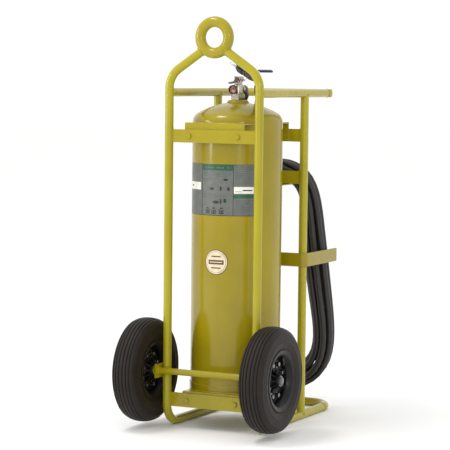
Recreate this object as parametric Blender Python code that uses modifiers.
"""Wheeled fire extinguisher: a pressure cylinder in a tubular hand truck with a lifting eye.

Metres, +Z up. The wheels and the label side face -Y, the handle and the hose rack face +Y.
The origin lies on the ground, in the middle of the object's footprint.
"""
import math

import bmesh
import bpy
from mathutils import Matrix, Vector

# ---- Driving dimensions -------------------------------------------------------------------

GAP = 0.0003                    # left between pieces that touch
SMOOTH_BELOW = math.radians(35)

TUBE_R = 0.0167                 # one-inch pipe
TUBE_SIDES = 16
HALF_WIDTH = 0.1925             # middle plane to the centre of an upright
UPRIGHT_DEPTH = 0.416           # front uprights to rear uprights
BASE_DEPTH = 0.727              # front uprights to the rear ground tube
HANDLE_DEPTH = 0.636            # front uprights to the handle crossbar
HANDLE_Z = 1.303
SHOULDER_Z = 1.3667             # where the sloping shoulder would meet the upright
SHOULDER_BEND_R = 0.090
GROUND_BEND_R = 0.080
BASE_CORNER_R = 0.090

EYE_R = 0.0595                  # lifting eye, centre line
EYE_TUBE_R = 0.0208
EYE_Z = 1.5138
EYE_JOIN = math.radians(-48)    # where the shoulders run into the eye

BAR_T = 0.008                   # flat bar of the crossbars
UPPER_BAR = (1.111, 1.1615)     # lower and upper edge of each crossbar
LOWER_BAR = (0.083, 0.138)
HANGER_BAR = (0.943, 0.994)
RETAINER_BAR = (0.6145, 0.6685)
RETAINER_T = 0.006
RETAINER_REACH = 0.705          # front uprights to the arms' free ends

CYL_R = 0.177
CYL_WALL = 0.004
CYL_STEPS = 28                  # sides of the cylinder
CYL_TANGENT = (0.175, 1.187)    # where the straight wall ends, bottom and top
CROWN_R = 0.310
KNUCKLE_R = 0.0438
NECK_R = 0.030
FOOT_RING = (0.088, 0.168)
FOOT_T = 0.0024

BRACKET_T = 0.006
BRACKET_HALF = 0.127
BRACKET_TOP = (0.145, 1.188)    # lower and upper bracket
BOLT_X = 0.104
BOLT_R = 0.005

WHEEL_R = 0.2032                # sixteen-inch wheel
WHEEL_CLEARANCE = 0.020         # the wheels hang clear while the truck stands on its tubes
WHEEL_X = 0.2697
AXLE_OFFSET = 0.031             # axle in front of the front uprights
AXLE_R = 0.0127
HUB_HALF = 0.038
WHEEL_STEPS = 20                # sides of the wheels

HOSE_R = 0.0135
BUNDLE_R = 3.4 * HOSE_R         # seven turns in a ring, round a hollow middle
BUNDLE_SWELL = 0.17             # the turns hang looser below the saddle
COIL_MIDDLE_Z = 0.557
COIL_HALF_HEIGHT = 0.432

OUTLET_Z = 1.318                # valve outlet, straight to the rear
PIVOT_Z = 1.358                 # valve lever's pivot
GAUGE_Z = 1.3155

# ---- Worked out from them -----------------------------------------------------------------

TUBE_FLAT = TUBE_R * math.cos(math.pi / TUBE_SIDES)   # axis to the middle of a facet
HALF_FACET = math.pi / TUBE_SIDES
FRONT_Y = (AXLE_OFFSET + WHEEL_R - BASE_DEPTH - TUBE_FLAT) / 2
REAR_Y = FRONT_Y + UPRIGHT_DEPTH
CYL_Y = FRONT_Y + UPRIGHT_DEPTH / 2
BASE_Y = FRONT_Y + BASE_DEPTH
SEAM_Y = BASE_Y - BASE_CORNER_R - 0.010               # the base loop is welded just before its bends
HANDLE_Y = FRONT_Y + HANDLE_DEPTH
AXLE_Y = FRONT_Y - AXLE_OFFSET
AXLE_Z = WHEEL_R + WHEEL_CLEARANCE
BAR_HALF = HALF_WIDTH - TUBE_FLAT - GAP
PLATE_X = HALF_WIDTH + TUBE_FLAT + GAP                # inner face of an axle plate
PLATE_T = 0.008
SIDES = (("left", -1), ("right", 1))

# ---- Scene, collections and materials -----------------------------------------------------


def clear_scene():
    for item in list(bpy.data.objects):
        bpy.data.objects.remove(item, do_unlink=True)


def new_collection(name):
    group = bpy.data.collections.new(name)
    bpy.context.scene.collection.children.link(group)
    return group


clear_scene()
PARTS = new_collection("wheeled_fire_extinguisher")
CUTTERS = new_collection("cutters")


def make_material(name, colour, roughness, metallic):
    material = bpy.data.materials.new(name)
    material.use_nodes = True
    shader = material.node_tree.nodes["Principled BSDF"]
    shader.inputs["Base Color"].default_value = (*colour, 1.0)
    shader.inputs["Roughness"].default_value = roughness
    shader.inputs["Metallic"].default_value = metallic
    return material


# colour, roughness, metallic
FINISHES = {
    "lime_paint": ((0.52, 0.44, 0.045), 0.32, 0.0),
    "bright_metal": ((0.62, 0.58, 0.52), 0.22, 1.0),
    "dark_metal": ((0.05, 0.05, 0.055), 0.40, 0.8),
    "black_rim": ((0.012, 0.012, 0.013), 0.25, 0.2),
    "tyre_rubber": ((0.022, 0.019, 0.017), 0.75, 0.0),
    "hose_rubber": ((0.016, 0.015, 0.016), 0.60, 0.0),
    "gauge_red": ((0.45, 0.05, 0.05), 0.50, 0.0),
    "gauge_lens": ((0.80, 0.82, 0.82), 0.05, 0.0),
    "blue_grip": ((0.010, 0.016, 0.060), 0.50, 0.0),
}


def finish(item, slot):
    """Gives an object smooth round faces and a material of its own in the named finish."""
    if item.type == "MESH" and item.data.polygons:
        item.data.shade_smooth()
        item.data.set_sharp_from_angle(angle=SMOOTH_BELOW)
    colour, roughness, metallic = FINISHES[slot]
    item.data.materials.clear()
    item.data.materials.append(make_material(f"{slot}.{item.name}", colour, roughness, metallic))
    return item


# ---- Building blocks ----------------------------------------------------------------------


def arc(centre, radius, start, end, steps):
    """Points on an arc in a plane, with the angles in degrees."""
    points = []
    for step in range(steps + 1):
        angle = math.radians(start + (end - start) * step / steps)
        points.append((centre[0] + radius * math.cos(angle), centre[1] + radius * math.sin(angle)))
    return points


def rounded_path(corners, radii, step=math.radians(15)):
    """Points along straight runs whose inner corners are rounded with the given radii."""
    corners = [Vector(corner) for corner in corners]
    points = [corners[0]]
    for index, radius in enumerate(radii, start=1):
        corner = corners[index]
        back = (corners[index - 1] - corner).normalized()
        ahead = (corners[index + 1] - corner).normalized()
        turn = math.pi - back.angle(ahead)
        centre = corner + (back + ahead).normalized() * radius / math.cos(turn / 2)
        first = corner + back * radius * math.tan(turn / 2) - centre
        last = corner + ahead * radius * math.tan(turn / 2) - centre
        steps = max(2, round(turn / step))
        for count in range(steps + 1):
            part = count / steps
            blend = first * math.sin((1 - part) * turn) + last * math.sin(part * turn)
            points.append(centre + blend / math.sin(turn))
    points.append(corners[-1])
    return points


def smooth_path(knots, steps):
    """Points on one smooth curve (Catmull-Rom) through hand-chosen knots."""
    knots = [Vector(knot) for knot in knots]
    padded = [2 * knots[0] - knots[1], *knots, 2 * knots[-1] - knots[-2]]
    points = []
    for index in range(1, len(padded) - 2):
        before, start, end, after = padded[index - 1:index + 3]
        for step in range(steps):
            t = step / steps
            linear = (end - before) * t
            square = (2 * before - 5 * start + 4 * end - after) * t ** 2
            cube = (3 * start - before - 3 * end + after) * t ** 3
            points.append(start + (linear + square + cube) / 2)
    points.append(knots[-1])
    return points


def link(name, data, group=PARTS):
    item = bpy.data.objects.new(name, data)
    group.objects.link(item)
    return item


def tube(name, points, radius, resolution=6, tilt=HALF_FACET, cyclic=False, swell=None):
    """A round tube along points. The tilt turns a facet, not an edge, towards the ground."""
    curve = bpy.data.curves.new(name, "CURVE")
    curve.dimensions = "3D"
    curve.bevel_depth = radius
    curve.bevel_resolution = resolution
    curve.use_fill_caps = True
    spline = curve.splines.new("POLY")
    spline.points.add(len(points) - 1)
    spline.use_cyclic_u = cyclic
    for index, (knot, point) in enumerate(zip(spline.points, points)):
        knot.co = (*point, 1.0)
        knot.tilt = tilt
        knot.radius = swell[index] if swell else 1.0
    return link(name, curve)


def plate(name, outline, thickness):
    """A flat outline in XY, with its thickness centred on the plane."""
    curve = bpy.data.curves.new(name, "CURVE")
    curve.dimensions = "2D"
    curve.fill_mode = "BOTH"
    curve.extrude = thickness / 2
    spline = curve.splines.new("POLY")
    spline.points.add(len(outline) - 1)
    spline.use_cyclic_u = True
    for knot, (x, y) in zip(spline.points, outline):
        knot.co = (x, y, 0.0, 1.0)
    return link(name, curve)


def as_mesh(item):
    """Replaces a curve object with a closed mesh of the same shape and place."""
    bpy.context.view_layer.update()
    graph = bpy.context.evaluated_depsgraph_get()
    mesh = bpy.data.meshes.new_from_object(item.evaluated_get(graph))
    form = bmesh.new()
    form.from_mesh(mesh)
    bmesh.ops.remove_doubles(form, verts=form.verts, dist=0.00001)
    form.to_mesh(mesh)
    form.free()
    name, place = item.name, item.matrix_world.copy()
    bpy.data.objects.remove(item, do_unlink=True)
    solid = link(name, mesh)
    solid.matrix_world = place
    return solid


def turned(name, profile, steps, closed=True):
    """A profile of (radius, height) points turned about Z, its outer side running downwards."""
    mesh = bpy.data.meshes.new(name)
    count = len(profile)
    edges = [(index, index + 1) for index in range(count - 1)]
    if closed:
        edges.append((count - 1, 0))
    mesh.from_pydata([(radius, 0.0, height) for radius, height in profile], edges, [])
    item = link(name, mesh)
    screw = item.modifiers.new("turn", "SCREW")
    screw.steps = steps
    screw.render_steps = steps
    screw.use_merge_vertices = True
    screw.merge_threshold = 0.00001
    return item


def rod(name, radius, bottom, top, steps=12):
    """A solid cylinder about Z."""
    return turned(name, [(0.0, top), (radius, top), (radius, bottom), (0.0, bottom)], steps, closed=False)


def box(name, low, high, bevel=0.0):
    mesh = bpy.data.meshes.new(name)
    form = bmesh.new()
    bmesh.ops.create_cube(form, size=1.0)
    size = [top - bottom for bottom, top in zip(low, high)]
    middle = [(top + bottom) / 2 for bottom, top in zip(low, high)]
    bmesh.ops.scale(form, vec=size, verts=form.verts)
    bmesh.ops.translate(form, vec=middle, verts=form.verts)
    form.to_mesh(mesh)
    form.free()
    item = link(name, mesh)
    if bevel:
        edge = item.modifiers.new("edges", "BEVEL")
        edge.width = bevel
        edge.segments = 1
    return item


def combine(item, other, operation="DIFFERENCE"):
    """Cuts, or joins on, another closed solid, which then stays in the cutters' collection."""
    for group in list(other.users_collection):
        group.objects.unlink(other)
    CUTTERS.objects.link(other)
    other.hide_render = True
    other.display_type = "WIRE"
    other.name = f"cutter_{other.name}"
    change = item.modifiers.new(operation.lower(), "BOOLEAN")
    change.operation = operation
    change.object = other
    return item


def place(item, location=(0, 0, 0), axis=(0, 0, 1)):
    """Moves an object, and turns its own Z to point along an axis."""
    turn = Vector((0, 0, 1)).rotation_difference(Vector(axis).normalized())
    item.matrix_world = Matrix.Translation(Vector(location)) @ turn.to_matrix().to_4x4()
    return item


def pipe_cutter(name, start, end):
    """A frame tube, a hair thicker, that cuts the shaped end of a tube welded to it."""
    return as_mesh(tube(name, [Vector(start), Vector(end)], TUBE_R + 2 * GAP))


# ---- Frame --------------------------------------------------------------------------------


def build_eye():
    bpy.ops.mesh.primitive_torus_add(
        major_radius=EYE_R, minor_radius=EYE_TUBE_R, major_segments=24, minor_segments=10,
        location=(0, FRONT_Y, EYE_Z), rotation=(math.pi / 2, 0, 0))
    eye = bpy.context.active_object
    eye.name = "lifting_eye"
    for group in list(eye.users_collection):
        group.objects.unlink(eye)
    PARTS.objects.link(eye)
    return finish(eye, "lime_paint")


def eye_cutter(name):
    bpy.ops.mesh.primitive_torus_add(
        major_radius=EYE_R, minor_radius=EYE_TUBE_R + 2 * GAP, major_segments=24, minor_segments=10,
        location=(0, FRONT_Y, EYE_Z), rotation=(math.pi / 2, 0, 0))
    cutter = bpy.context.active_object
    cutter.name = name
    return cutter


def build_front_tube(side, sign):
    """Shoulder, upright and ground rail: one bent pipe from the eye to the rear corner."""
    x = sign * HALF_WIDTH
    start = (sign * EYE_R * math.cos(EYE_JOIN), FRONT_Y, EYE_Z + EYE_R * math.sin(EYE_JOIN))
    corners = [start, (x, FRONT_Y, SHOULDER_Z), (x, FRONT_Y, TUBE_FLAT), (x, SEAM_Y - GAP, TUBE_FLAT)]
    path = rounded_path(corners, [SHOULDER_BEND_R, GROUND_BEND_R])
    pipe = as_mesh(tube(f"front_tube_{side}", path, TUBE_R))
    combine(pipe, eye_cutter(f"eye_for_{side}"))
    return finish(pipe, "lime_paint")


def build_base_rear_tube():
    corners = [(-HALF_WIDTH, SEAM_Y, TUBE_FLAT), (-HALF_WIDTH, BASE_Y, TUBE_FLAT),
               (HALF_WIDTH, BASE_Y, TUBE_FLAT), (HALF_WIDTH, SEAM_Y, TUBE_FLAT)]
    path = rounded_path(corners, [BASE_CORNER_R, BASE_CORNER_R])
    return finish(tube("base_rear_tube", path, TUBE_R), "lime_paint")


def build_rear_upright(side, sign):
    x = sign * HALF_WIDTH
    pipe = as_mesh(tube(f"rear_upright_{side}", [(x, REAR_Y, TUBE_FLAT), (x, REAR_Y, HANDLE_Z)], TUBE_R))
    for name, height in (("ground", TUBE_FLAT), ("handle", HANDLE_Z)):
        near, far = REAR_Y - 3 * TUBE_R, REAR_Y + 3 * TUBE_R
        combine(pipe, pipe_cutter(f"{name}_rail_{side}", (x, near, height), (x, far, height)))
    return finish(pipe, "lime_paint")


def build_handle_rail(side, sign):
    x = sign * HALF_WIDTH
    pipe = as_mesh(tube(f"handle_rail_{side}", [(x, FRONT_Y, HANDLE_Z), (x, HANDLE_Y, HANDLE_Z)], TUBE_R))
    low, high = HANDLE_Z - 3 * TUBE_R, HANDLE_Z + 3 * TUBE_R
    combine(pipe, pipe_cutter(f"upright_{side}", (x, FRONT_Y, low), (x, FRONT_Y, high)))
    near, far = x - 3 * TUBE_R, x + 3 * TUBE_R
    combine(pipe, pipe_cutter(f"crossbar_{side}", (near, HANDLE_Y, HANDLE_Z), (far, HANDLE_Y, HANDLE_Z)))
    return finish(pipe, "lime_paint")


def build_handle_crossbar():
    reach = HALF_WIDTH + TUBE_R
    ends = [(-reach, HANDLE_Y, HANDLE_Z), (reach, HANDLE_Y, HANDLE_Z)]
    return finish(tube("handle_crossbar", ends, TUBE_R), "lime_paint")


def bolt_hole(name, x, y, z):
    reach = 0.03
    return place(rod(name, BOLT_R + GAP, -reach, reach), (x, y, z), (0, 1, 0))


def build_crossbar(name, y, edges, bolted):
    low = (-BAR_HALF, y - BAR_T / 2, edges[0])
    high = (BAR_HALF, y + BAR_T / 2, edges[1])
    bar = box(name, low, high)
    if bolted:
        for side, sign in SIDES:
            hole = bolt_hole(f"{name}_{side}", sign * BOLT_X, y, sum(edges) / 2)
            combine(bar, hole)
    return finish(bar, "lime_paint")


def build_hose_hanger():
    """The hanger bar, and welded behind it the curved saddle that the hose hangs over."""
    hanger = build_crossbar("hose_hanger", REAR_Y, HANGER_BAR, bolted=False)
    tray_r, tray_t = 0.052, 0.005
    tray_z = COIL_MIDDLE_Z + COIL_HALF_HEIGHT - BUNDLE_R - 0.0015 - tray_r
    back_y = REAR_Y
    tray_end = FRONT_Y + 0.672
    outline = arc((0, 0), tray_r, 132, 48, 6) + arc((0, 0), tray_r - tray_t, 48, 132, 6)
    lip_outline = arc((0, 0), tray_r + 0.048, 115, 65, 4) + arc((0, 0), tray_r - tray_t, 60, 120, 4)
    for name, shape, start in (("saddle_tray", outline, back_y), ("saddle_lip", lip_outline, tray_end - tray_t)):
        piece = as_mesh(plate(name, shape, tray_end - start))
        middle = Matrix.Translation((0, (tray_end + start) / 2, tray_z))
        piece.matrix_world = middle @ Matrix.Rotation(math.pi / 2, 4, "X")
        combine(hanger, piece, "UNION")
    back = box("saddle_back", (-0.040, back_y, tray_z + 0.030), (0.040, back_y + 0.009, HANGER_BAR[1] - 0.004))
    combine(hanger, back, "UNION")
    return hanger


def build_hose_retainer():
    """A U of flat bar on edge, round the outside of the rear uprights."""
    bend_r = TUBE_R + 2 * GAP + RETAINER_T / 2
    x = HALF_WIDTH + bend_r
    back_y = REAR_Y - bend_r
    end_y = FRONT_Y + RETAINER_REACH
    corners = [(-x, end_y, 0), (-x, back_y, 0), (x, back_y, 0), (x, end_y, 0)]
    middle = rounded_path(corners, [bend_r, bend_r], math.radians(22.5))
    edges = {1: [], -1: []}
    for index, point in enumerate(middle):
        ahead = middle[min(index + 1, len(middle) - 1)]
        behind = middle[max(index - 1, 0)]
        along = (ahead - behind).normalized()
        across = Vector((-along.y, along.x, 0)) * RETAINER_T / 2
        for sign, edge in edges.items():
            edge.append(tuple((point + sign * across).xy))
    outline = edges[1] + edges[-1][::-1]
    retainer = plate("hose_retainer", outline, RETAINER_BAR[1] - RETAINER_BAR[0])
    retainer.location.z = sum(RETAINER_BAR) / 2
    return finish(retainer, "lime_paint")


def build_frame():
    build_eye()
    for side, sign in SIDES:
        build_front_tube(side, sign)
        build_rear_upright(side, sign)
        build_handle_rail(side, sign)
    build_base_rear_tube()
    build_handle_crossbar()
    build_crossbar("front_upper_crossbar", FRONT_Y, UPPER_BAR, bolted=True)
    build_crossbar("front_lower_crossbar", FRONT_Y, LOWER_BAR, bolted=True)
    build_crossbar("rear_upper_crossbar", REAR_Y, UPPER_BAR, bolted=True)
    build_crossbar("rear_lower_crossbar", REAR_Y, LOWER_BAR, bolted=True)
    build_hose_hanger()
    build_hose_retainer()


# ---- Axle and wheels ----------------------------------------------------------------------

AXLE_END = WHEEL_X + HUB_HALF + 0.0075
BUSH_FLANGE = 0.003
BUSH_R = 0.015
COLLAR_R = 0.018


def build_axle():
    """A bar with a collar outside each plate, which keeps the hub off the plate."""
    collar_in = PLATE_X + PLATE_T + GAP
    collar_out = WHEEL_X - HUB_HALF - GAP
    half = [(0.0, AXLE_END), (AXLE_R, AXLE_END), (AXLE_R, collar_out), (COLLAR_R, collar_out),
            (COLLAR_R, collar_in), (AXLE_R, collar_in)]
    profile = half + [(radius, -height) for radius, height in reversed(half)]
    axle = place(turned("axle", profile, 16, closed=False), (0, AXLE_Y, AXLE_Z), (1, 0, 0))
    return finish(axle, "lime_paint")


def build_axle_plate(side, sign):
    inner, outer = sorted((sign * PLATE_X, sign * (PLATE_X + PLATE_T)))
    low = (inner, AXLE_Y - 0.027, AXLE_Z - 0.027)
    high = (outer, FRONT_Y + 0.014, AXLE_Z + 0.027)
    piece = box(f"axle_plate_{side}", low, high)
    hole = place(rod(f"axle_{side}", AXLE_R + GAP, -0.03, 0.03, 16), (sign * PLATE_X, AXLE_Y, AXLE_Z), (1, 0, 0))
    combine(piece, hole)
    return finish(piece, "lime_paint")


def mirrored(half):
    """Both halves of a profile that is the same above and below its middle."""
    return half + [(radius, -height) for radius, height in reversed(half)]


def build_tyre(side, sign):
    """A pneumatic tyre: a carcass that is open towards the rim."""
    outside = [(0.1180, 0.0444), (0.1300, 0.0490), (0.1580, 0.0520), (0.1800, 0.0485), (0.1965, 0.0360),
               (WHEEL_R, 0.0120)]
    inside = [(0.1046, 0.0405), (0.1046, 0.0320), (0.1400, 0.0400), (0.1850, 0.0280)]
    profile = mirrored(outside) + mirrored(inside)[::-1]
    tyre = turned(f"tyre_{side}", profile, WHEEL_STEPS)
    place(tyre, (sign * WHEEL_X, AXLE_Y, AXLE_Z), (sign, 0, 0))
    return finish(tyre, "tyre_rubber")


def build_rim(side, sign):
    """Barrel with a dropped centre, a disc in the middle, and the hub tube through it."""
    outside = [(0.1180, 0.0480), (0.1180, 0.0450), (0.1040, 0.0410), (0.0900, 0.0220)]
    inside = [(0.1015, 0.0445), (0.0870, 0.0235), (0.0870, 0.0030), (0.0215, 0.0030), (0.0215, HUB_HALF),
              (BUSH_R + GAP, HUB_HALF)]
    profile = mirrored(outside) + mirrored(inside)[::-1]
    rim = turned(f"rim_{side}", profile, WHEEL_STEPS)
    place(rim, (sign * WHEEL_X, AXLE_Y, AXLE_Z), (sign, 0, 0))
    return finish(rim, "black_rim")


def build_wheel_bush(side, sign):
    """The bearing bush in the hub, with a flange at its outer end."""
    flange = HUB_HALF + GAP
    profile = [(0.0205, flange + BUSH_FLANGE), (0.0205, flange), (BUSH_R, flange), (BUSH_R, -HUB_HALF),
               (AXLE_R + GAP, -HUB_HALF), (AXLE_R + GAP, flange + BUSH_FLANGE)]
    bush = turned(f"wheel_bush_{side}", profile, 20)
    place(bush, (sign * WHEEL_X, AXLE_Y, AXLE_Z), (sign, 0, 0))
    return finish(bush, "bright_metal")


def build_axle_cap(side, sign):
    """The push-on cap that keeps the wheel on."""
    start = HUB_HALF + BUSH_FLANGE + 2 * GAP
    end = AXLE_END - WHEEL_X + GAP
    bore = AXLE_R + GAP
    profile = [(0.0, end + 0.0035), (0.010, end + 0.003), (0.0165, end), (0.0175, start), (bore, start),
               (bore, end), (0.0, end)]
    cap = turned(f"axle_cap_{side}", profile, 20, closed=False)
    place(cap, (sign * WHEEL_X, AXLE_Y, AXLE_Z), (sign, 0, 0))
    return finish(cap, "bright_metal")


def build_wheels():
    build_axle()
    for side, sign in SIDES:
        build_axle_plate(side, sign)
        build_tyre(side, sign)
        build_rim(side, sign)
        build_wheel_bush(side, sign)
        build_axle_cap(side, sign)


# ---- Cylinder -----------------------------------------------------------------------------

KNUCKLE_X = CYL_R - KNUCKLE_R
CROWN_DROP = math.sqrt((CROWN_R - KNUCKLE_R) ** 2 - KNUCKLE_X ** 2)   # crown's centre under the tangent
CROWN_ANGLE = math.degrees(math.atan2(CROWN_DROP, KNUCKLE_X))         # where crown and knuckle meet


def dome_height(radius):
    """Height of the top dome's outside at a radius from the axis, within the crown."""
    return CYL_TANGENT[1] - CROWN_DROP + math.sqrt(CROWN_R ** 2 - radius ** 2)


def shell_side(wall, steps):
    """The shell's profile from the neck down to the middle of the bottom, at a depth in the wall."""
    low, high = CYL_TANGENT
    crown, knuckle = CROWN_R - wall, KNUCKLE_R - wall
    neck_angle = math.degrees(math.acos(NECK_R / crown))
    top = arc((0, high - CROWN_DROP), crown, neck_angle, CROWN_ANGLE, steps)
    top += arc((KNUCKLE_X, high), knuckle, CROWN_ANGLE, 0, steps)[1:]
    bottom = arc((KNUCKLE_X, low), knuckle, 0, -CROWN_ANGLE, steps)
    bottom += arc((0, low + CROWN_DROP), crown, -CROWN_ANGLE, -90, steps)[1:]
    bottom[-1] = (0.0, bottom[-1][1])
    return top + bottom


def build_shell():
    profile = shell_side(CYL_WALL, 2)[::-1] + shell_side(0.0, 3)
    shell = turned("cylinder_shell", profile, CYL_STEPS, closed=False)
    shell.location = (0, CYL_Y, 0)
    return finish(shell, "lime_paint")


def build_foot_ring():
    bottom, top = FOOT_RING
    inner, outer = CYL_R + GAP, CYL_R + GAP + FOOT_T
    ring = turned("foot_ring", [(outer, top), (outer, bottom), (inner, bottom), (inner, top)], CYL_STEPS)
    ring.location = (0, CYL_Y, 0)
    return finish(ring, "lime_paint")


COLLAR_TOP = 1.275
COLLAR_BORE = 0.0262


def build_neck_collar():
    """The welded neck that the valve screws into, seated on the dome and in its opening."""
    seat = 2 * GAP
    hub_r = NECK_R - GAP
    profile = [(0.0370, COLLAR_TOP), (0.0400, COLLAR_TOP - 0.003), (0.0400, dome_height(0.0400) + seat),
               (hub_r, dome_height(hub_r) + seat), (hub_r, dome_height(hub_r) - 0.018),
               (COLLAR_BORE, dome_height(hub_r) - 0.018), (COLLAR_BORE, COLLAR_TOP)]
    collar = turned("neck_collar", profile, 24)
    collar.location = (0, CYL_Y, 0)
    return finish(collar, "lime_paint")


NECK_BOTTOM = 1.236


def build_siphon_tube():
    outer, inner = 0.011, 0.009
    top, bottom = NECK_BOTTOM - GAP, 0.112
    tube_piece = turned("siphon_tube", [(outer, top), (outer, bottom), (inner, bottom), (inner, top)], 12)
    tube_piece.location = (0, CYL_Y, 0)
    return finish(tube_piece, "bright_metal")


def build_bracket(name, end, top, bar, shell_r):
    """An angle: one leg bolted behind a crossbar, the other notched round the cylinder."""
    bar_face = UPRIGHT_DEPTH / 2 - BAR_T / 2 - GAP          # distance from the cylinder's axis
    bottom = bar[0] + GAP
    reach = bar_face - 0.090
    outline = [(bar_face, bottom), (bar_face, top), (reach, top), (reach, top - BRACKET_T),
               (bar_face - BRACKET_T, top - BRACKET_T), (bar_face - BRACKET_T, bottom)]
    angle = as_mesh(plate(name, outline, 2 * BRACKET_HALF))
    # the outline's own X runs out from the axis, its Y runs up
    angle.matrix_world = Matrix(((0, 0, 1, 0), (end, 0, 0, CYL_Y), (0, 1, 0, 0), (0, 0, 0, 1)))
    if end < 0:
        angle.matrix_world = Matrix(((0, 0, -1, 0), (end, 0, 0, CYL_Y), (0, 1, 0, 0), (0, 0, 0, 1)))
    wall = rod(f"{name}_wall", shell_r + 2 * GAP, bottom - 0.01, top + 0.01, CYL_STEPS)
    wall.location = (0, CYL_Y, 0)
    combine(angle, wall)
    for side, sign in SIDES:
        combine(angle, bolt_hole(f"{name}_{side}", sign * BOLT_X, CYL_Y + end * bar_face, sum(bar) / 2))
    return finish(angle, "lime_paint")


def build_bolt_mesh():
    """Head, shank and nut of a bracket bolt, along -Z from under the head."""
    grip = BAR_T + BRACKET_T + GAP
    bolt = rod("bolt_pattern", BOLT_R, -grip - 0.004, 0.004)
    for name, bottom, top in (("head", GAP, 0.0065), ("nut", -grip - GAP - 0.008, -grip - GAP)):
        combine(bolt, rod(f"bolt_{name}", 0.0098, bottom, top, 6), "UNION")
    return as_mesh(bolt)


def build_bolts():
    pattern = build_bolt_mesh()
    for end, row in ((-1, "front"), (1, "rear")):
        for level, bar in (("upper", UPPER_BAR), ("lower", LOWER_BAR)):
            for side, sign in SIDES:
                name = f"bolt_{row}_{level}_{side}"
                bolt = link(name, pattern.data.copy())
                face = CYL_Y + end * (UPRIGHT_DEPTH / 2 + BAR_T / 2)
                place(bolt, (sign * BOLT_X, face, sum(bar) / 2), (0, end, 0))
                finish(bolt, "lime_paint")
    bpy.data.objects.remove(pattern, do_unlink=True)


def build_cylinder():
    build_shell()
    build_foot_ring()
    build_neck_collar()
    build_siphon_tube()
    for row, end in (("front", -1), ("rear", 1)):
        build_bracket(f"{row}_lower_bracket", end, BRACKET_TOP[0], LOWER_BAR, CYL_R + GAP + FOOT_T)
        build_bracket(f"{row}_upper_bracket", end, BRACKET_TOP[1], UPPER_BAR, CYL_R)
    build_bolts()


# ---- Valve --------------------------------------------------------------------------------

HEX_TOP = 1.300
BODY_R = 0.0175
BODY_TOP = 1.337
BONNET_TOP = 1.3445
STEM_R = 0.0042
EAR_IN, EAR_OUT = 0.0075, 0.0125
LEVER_HALF = 0.0065
PIN_R = 0.003
PULL_PIN_R = 0.0018
PULL_PIN_Y = CYL_Y + 0.0125
PULL_PIN_Z = PIVOT_Z - 0.006
RING_R = 0.017
EYE_X = 0.0185                  # the pull pin's eye
GAUGE_BACK = CYL_Y - 0.036
COUPLING_CORNER = Vector((0, CYL_Y + 0.058, OUTLET_Z))
COUPLING_WAY = Vector((-0.38, 0.78, -0.50)).normalized()
COUPLING_END = COUPLING_CORNER + COUPLING_WAY * 0.042
GAUGE_R = 0.018


def build_valve_body():
    """Neck, hexagon, body and bonnet, with the outlet, the gauge boss and the lever's ears."""
    neck_r = COLLAR_BORE - 2 * GAP
    seat = COLLAR_TOP + GAP
    profile = [(0.0, BONNET_TOP), (0.0145, BONNET_TOP), (0.0145, BODY_TOP), (BODY_R, BODY_TOP - 0.002),
               (BODY_R, HEX_TOP - 0.002), (neck_r, HEX_TOP - 0.004), (neck_r, NECK_BOTTOM), (0.0, NECK_BOTTOM)]
    body = turned("valve_body", profile, 20, closed=False)
    body.location = (0, CYL_Y, 0)
    hexagon = rod("valve_hexagon", 0.030, seat, HEX_TOP, 6)
    hexagon.location = (0, CYL_Y, 0)
    combine(body, hexagon, "UNION")
    outlet = place(rod("valve_outlet", 0.0125, 0.0, 0.036, 16), (0, CYL_Y, OUTLET_Z), (0, 1, 0))
    combine(body, outlet, "UNION")
    boss = place(rod("gauge_boss", 0.006, 0.0, 0.036 - GAP), (0, CYL_Y, GAUGE_Z), (0, -1, 0))
    combine(body, boss, "UNION")
    for side, sign in SIDES:
        inner, outer = sorted((sign * EAR_IN, sign * EAR_OUT))
        ear = box(f"ear_{side}", (inner, CYL_Y - 0.010, BONNET_TOP - 0.0015), (outer, CYL_Y + 0.016, PIVOT_Z + 0.0095))
        combine(body, ear, "UNION")
    bore = rod("flow_bore", 0.008, NECK_BOTTOM - 0.01, OUTLET_Z + 0.004)
    bore.location = (0, CYL_Y, 0)
    combine(body, bore)
    stem_bore = rod("stem_bore", STEM_R + GAP, OUTLET_Z, BONNET_TOP + 0.01)
    stem_bore.location = (0, CYL_Y, 0)
    combine(body, stem_bore)
    combine(body, place(rod("outlet_bore", 0.0075, 0.0, 0.05), (0, CYL_Y, OUTLET_Z), (0, 1, 0)))
    combine(body, place(rod("lever_pin_hole", PIN_R + GAP, -0.03, 0.03), (0, CYL_Y, PIVOT_Z), (1, 0, 0)))
    pull_hole = rod("pull_pin_hole", PULL_PIN_R + GAP, -0.03, 0.03)
    combine(body, place(pull_hole, (0, PULL_PIN_Y, PULL_PIN_Z), (1, 0, 0)))
    return finish(body, "bright_metal")


def build_stem():
    stem = rod("valve_stem", STEM_R, 1.310, 1.3497)
    stem.location = (0, CYL_Y, 0)
    return finish(stem, "bright_metal")


def build_valve_lever():
    """A cam lever lying forwards over the gauge. Lifting it turns the cam down on the stem."""
    cam = arc((0, 0), 0.0065, 130, 75, 3) + arc((0.0055, 0), 0.006, 70, -70, 6) + arc((0, 0), 0.0065, -75, -150, 4)
    arm = [(-0.030, -0.0150), (-0.070, -0.0200), (-0.074, -0.0185), (-0.075, -0.0145), (-0.030, -0.0095)]
    lever = as_mesh(plate("valve_lever", cam + arm, 2 * LEVER_HALF))
    # the outline's own X runs to the rear, its Y runs up, and the pivot is its origin
    lever.matrix_world = Matrix(((0, 0, 1, 0), (1, 0, 0, CYL_Y), (0, 1, 0, PIVOT_Z), (0, 0, 0, 1)))
    hole = place(rod("lever_bore", PIN_R + GAP, -0.02, 0.02), (0, CYL_Y, PIVOT_Z), (1, 0, 0))
    combine(lever, hole)
    return finish(lever, "dark_metal")


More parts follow.
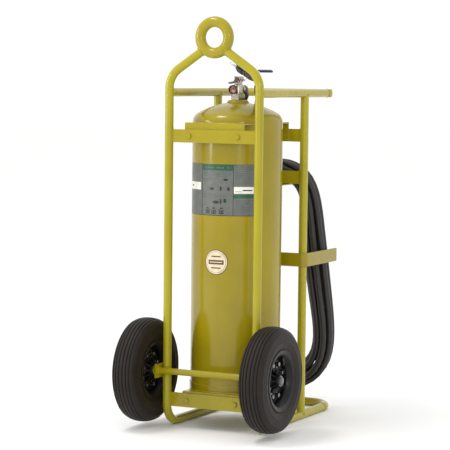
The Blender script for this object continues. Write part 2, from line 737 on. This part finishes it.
def build_lever_pin():
    head_in, head_out = EAR_OUT + GAP, EAR_OUT + 0.002
    profile = [(0.0, head_out), (0.0045, head_out), (0.0045, head_in), (PIN_R, head_in),
               (PIN_R, -head_out), (0.0, -head_out)]
    pin = place(turned("lever_pin", profile, 12, closed=False), (0, CYL_Y, PIVOT_Z), (1, 0, 0))
    return finish(pin, "bright_metal")


def small_ring(name, radius, thickness, steps, sides):
    """A ring of wire in its own XY plane."""
    turns = 2 * math.pi / steps
    points = [Vector((radius * math.cos(turns * i), radius * math.sin(turns * i), 0)) for i in range(steps)]
    return as_mesh(tube(name, points, thickness, sides, 0.0, cyclic=True))


def build_pull_pin():
    eye_r, wire_r = 0.0040, 0.0012
    pin = rod("pull_pin", PULL_PIN_R, -0.0165, EYE_X - eye_r, 10)
    place(pin, (0, PULL_PIN_Y, PULL_PIN_Z), (1, 0, 0))
    eye = place(small_ring("pin_eye", eye_r, wire_r, 12, 1), (EYE_X, PULL_PIN_Y, PULL_PIN_Z), (0, 1, 0))
    combine(pin, eye, "UNION")
    return finish(pin, "bright_metal")


def build_pull_ring():
    """The ring through the pin's eye, standing up at sixty degrees, with its origin in the eye."""
    angle = math.radians(60)
    ring = small_ring("pull_ring", RING_R, 0.0013, 24, 1)
    outwards = Vector((math.cos(angle), 0, math.sin(angle)))
    normal = outwards.cross(Vector((0, 1, 0)))
    turn = Matrix((outwards, (0, 1, 0), normal)).transposed().to_4x4()
    ring.data.transform(Matrix.Translation((RING_R, 0, 0)))
    ring.matrix_world = Matrix.Translation((EYE_X, PULL_PIN_Y, PULL_PIN_Z)) @ turn
    return finish(ring, "bright_metal")


def on_gauge(item):
    """Puts a piece modelled about Z on the gauge's axis, facing forwards."""
    return place(item, (0, GAUGE_BACK, GAUGE_Z), (0, -1, 0))


def build_gauge():
    wall_r, lip_r = 0.0160, 0.0148
    front = 0.0145
    case = [(0.0172, front), (GAUGE_R, front - 0.001), (GAUGE_R, 0.0015), (0.0165, 0.0), (0.0, 0.0)]
    case = [(0.0, 0.003), (wall_r, 0.003), (wall_r, 0.0112), (lip_r, 0.0118), (lip_r, front)] + case
    finish(on_gauge(turned("gauge_case", case, 20, closed=False)), "dark_metal")
    finish(on_gauge(rod("gauge_dial", wall_r - 2 * GAP, 0.0033, 0.0043, 20)), "gauge_red")
    hub = arc((0, 0), 0.0022, 60, -240, 8)
    needle = plate("gauge_needle", hub + [(-0.0005, 0.0110), (0.0, 0.0125), (0.0005, 0.0110)], 0.0008)
    needle = as_mesh(needle)
    needle.matrix_world = Matrix.Translation((0, GAUGE_BACK - 0.0058, GAUGE_Z)) @ Matrix.Rotation(math.pi / 2, 4, "X")
    finish(needle, "dark_metal")
    finish(on_gauge(rod("gauge_lens", wall_r - 2 * GAP, 0.0088, 0.0108, 20)), "gauge_lens")


def build_hose_coupling():
    """The elbow on the valve's outlet, which turns the hose down over the dome."""
    start = Vector((0, CYL_Y + 0.036 + GAP, OUTLET_Z))
    path = rounded_path([start, COUPLING_CORNER, COUPLING_END], [0.020])
    return finish(tube("hose_coupling", path, 0.0150, 4), "dark_metal")


def build_valve():
    build_valve_body()
    build_stem()
    build_valve_lever()
    build_lever_pin()
    build_pull_pin()
    build_pull_ring()
    build_gauge()
    build_hose_coupling()


# ---- Nozzle -------------------------------------------------------------------------------

# The nozzle's own axes: X along the flow, -Y along the closed lever, Z along the lever's stem.
NOZZLE_AT = Vector((0.1203, FRONT_Y + 0.065, 1.370))
LEVER_WAY = Vector((0.42, 0.907, 0.0)).normalized()
FLOW_WAY = Vector((-0.84, 0.389, 0.377)).normalized()
STEM_WAY = LEVER_WAY.cross(FLOW_WAY)
NOZZLE_FRAME = Matrix.Translation(NOZZLE_AT) @ Matrix((FLOW_WAY, -LEVER_WAY, STEM_WAY)).transposed().to_4x4()
INLET_CORNER = NOZZLE_AT - FLOW_WAY * 0.056
HOSE_RISE = Vector((0.223, -0.4475, 0.866)).normalized()    # the hose's last stretch climbs steeply
HOSE_END = INLET_CORNER - HOSE_RISE * 0.030
BALL_R = 0.0110
SHUTOFF_R = 0.0150


def on_nozzle(item, axis=(0, 0, 1), at=(0, 0, 0)):
    """Puts a piece modelled about Z on an axis of the nozzle."""
    turn = Vector((0, 0, 1)).rotation_difference(Vector(axis)).to_matrix().to_4x4()
    item.matrix_world = NOZZLE_FRAME @ Matrix.Translation(Vector(at)) @ turn
    return item


def nozzle_ball(name, radius):
    mesh = bpy.data.meshes.new(name)
    form = bmesh.new()
    bmesh.ops.create_uvsphere(form, u_segments=14, v_segments=7, radius=radius)
    form.to_mesh(mesh)
    form.free()
    return on_nozzle(link(name, mesh))


def build_shutoff():
    """The shut-off valve's body: inlet elbow, ball chamber and stem boss."""
    path = rounded_path([HOSE_END + HOSE_RISE * GAP, INLET_CORNER, NOZZLE_AT - FLOW_WAY * 0.012], [0.013])
    body = as_mesh(tube("nozzle_body", path, 0.0115, 3))
    chamber = on_nozzle(rod("ball_chamber", SHUTOFF_R, -0.019, 0.019, 16), (1, 0, 0))
    combine(body, chamber, "UNION")
    boss = on_nozzle(rod("stem_boss", 0.0065, 0.0, SHUTOFF_R + 0.0015, 12))
    combine(body, boss, "UNION")
    combine(body, nozzle_ball("ball_space", BALL_R + 2 * GAP))
    combine(body, on_nozzle(rod("outlet_way", 0.0065, 0.0, 0.03, 12), (1, 0, 0)))
    combine(body, on_nozzle(rod("stem_way", 0.0035, 0.0, 0.03, 12)))
    return finish(body, "dark_metal")


def build_shutoff_lever():
    """The ball, its stem and the lever strap with its grip, all turning about the stem."""
    ball = nozzle_ball("nozzle_lever", BALL_R)
    ball_bore = on_nozzle(rod("ball_bore", 0.0062, -0.02, 0.02, 10), (0, 1, 0))
    combine(ball, ball_bore)
    strap_low = SHUTOFF_R + 0.0030
    strap_t, strap_half, length = 0.003, 0.0070, 0.104
    combine(ball, on_nozzle(rod("lever_stem", 0.0032, BALL_R - 0.003, strap_low + strap_t + 0.003, 10)), "UNION")
    strap = box("lever_strap", (-strap_half, -length, strap_low), (strap_half, strap_half, strap_low + strap_t))
    combine(ball, on_nozzle(strap), "UNION")
    grip = box("lever_grip", (-0.0085, -length - 0.0015, strap_low - 0.002), (0.0085, -0.036, strap_low + strap_t + 0.002))
    combine(ball, on_nozzle(grip), "UNION")
    return finish(ball, "blue_grip")


def build_nozzle_barrel():
    """Barrel and slender tip, screwed to the shut-off's outlet."""
    start = 0.019 + GAP
    profile = [(0.0025, 0.130), (0.0032, 0.130), (0.0040, 0.088), (0.0080, 0.084), (0.0120, 0.074),
               (0.0125, 0.030), (0.0140, 0.028), (0.0140, start), (0.0065, start), (0.0065, 0.076), (0.0025, 0.086)]
    barrel = on_nozzle(turned("nozzle_barrel", profile, 14), (1, 0, 0))
    return finish(barrel, "dark_metal")


def build_nozzle_clip():
    """A sleeve round the barrel on a strut welded to the shoulder tube."""
    sleeve = turned("nozzle_clip", [(0.0150, 0.068), (0.0150, 0.042), (0.0130, 0.042), (0.0130, 0.068)], 16)
    on_nozzle(sleeve, (1, 0, 0))
    middle = NOZZLE_AT + FLOW_WAY * 0.055
    slope = Vector((EYE_R * math.cos(EYE_JOIN) - HALF_WIDTH, 0, EYE_Z + EYE_R * math.sin(EYE_JOIN) - SHOULDER_Z))
    slope.normalize()
    corner = Vector((HALF_WIDTH, FRONT_Y, SHOULDER_Z))
    foot = corner + slope * (middle - corner).dot(slope)
    way = (foot - middle).normalized()
    way = (way - FLOW_WAY * way.dot(FLOW_WAY)).normalized()
    start = middle + way * 0.0142
    across = way.cross(slope).normalized()
    aim = start + way * ((foot - start).length)
    aim -= across * (aim - foot).dot(across)
    strut = as_mesh(tube("clip_strut", [start, aim], 0.0045, 3))
    combine(sleeve, strut, "UNION")
    combine(sleeve, pipe_cutter("shoulder_for_clip", corner + slope * 0.02, corner + slope * 0.20))
    return finish(sleeve, "lime_paint")


# ---- Hose ---------------------------------------------------------------------------------


def coil_line(t):
    """The middle of the hanging coil at an angle t: pear shaped, leaning back at the bottom."""
    rise = math.cos(t)
    fullness, growth = (0.17, 2.0) if rise > 0.3 else (0.10, 2.2)
    width = (0.158 + fullness * abs(rise - 0.3) ** growth) * math.sin(t)
    return Vector((width, FRONT_Y + 0.632 - 0.015 * rise, COIL_MIDDLE_Z + COIL_HALF_HEIGHT * rise))


def build_coil():
    """The outer shape of seven turns of hose that hang over the saddle."""
    steps = 30
    angles = [2 * math.pi * step / steps for step in range(steps)]
    swell = [1.0 + BUNDLE_SWELL * (1 - ((1 + math.cos(angle)) / 2) ** 3) for angle in angles]
    coil = tube("hose_coil", [coil_line(angle) for angle in angles], BUNDLE_R, 3, 0.0, cyclic=True, swell=swell)
    return finish(as_mesh(coil), "hose_rubber")


# x, distance behind the front uprights, z
LEAD_ROUTE = [(-0.034, 0.333, 1.279), (-0.055, 0.371, 1.256), (-0.075, 0.406, 1.227), (-0.090, 0.435, 1.187),
              (-0.100, 0.457, 1.135), (-0.107, 0.480, 1.070), (-0.112, 0.511, 1.000), (-0.119, 0.554, 0.930),
              (-0.132, 0.597, 0.850), (-0.149, 0.618, 0.760)]
TAIL_ROUTE = [(0.045, 0.614, 0.975), (0.000, 0.608, 1.023), (-0.034, 0.582, 1.076), (-0.047, 0.534, 1.132),
              (-0.043, 0.485, 1.184), (-0.026, 0.440, 1.221), (-0.004, 0.395, 1.243), (0.018, 0.350, 1.258),
              (0.043, 0.300, 1.268), (0.068, 0.250, 1.273), (0.093, 0.200, 1.270), (0.115, 0.152, 1.270),
              (0.1335, 0.115, 1.276), (0.147, 0.086, 1.292)]
FITTED = 0.010                  # straight stretch of hose at a fitting


def build_hose_run(name, path, coil):
    """A free stretch of hose, cut where it dips into the coil."""
    run = as_mesh(tube(name, path, HOSE_R, 2, 0.0))
    skin = coil.copy()
    skin.data = coil.data.copy()
    skin.name = f"{name}_coil"
    CUTTERS.objects.link(skin)
    form = bmesh.new()
    form.from_mesh(skin.data)
    for vertex in form.verts:
        vertex.co += vertex.normal * 2 * GAP
    form.to_mesh(skin.data)
    form.free()
    combine(run, skin)
    return finish(run, "hose_rubber")


def build_hose():
    coil = build_coil()
    lead = [(x, FRONT_Y + depth, z) for x, depth, z in LEAD_ROUTE]
    tail = [(x, FRONT_Y + depth, z) for x, depth, z in TAIL_ROUTE]
    lead_start = COUPLING_END + COUPLING_WAY * GAP
    lead_path = [lead_start] + smooth_path([lead_start + COUPLING_WAY * FITTED, *lead], 2)
    tail_path = smooth_path([*tail, HOSE_END - HOSE_RISE * FITTED], 2) + [HOSE_END]
    build_hose_run("hose_lead", lead_path, coil)
    build_hose_run("hose_tail", tail_path, coil)


build_frame()
build_wheels()
build_cylinder()
build_valve()
build_shutoff()
build_shutoff_lever()
build_nozzle_barrel()
build_nozzle_clip()
build_hose()
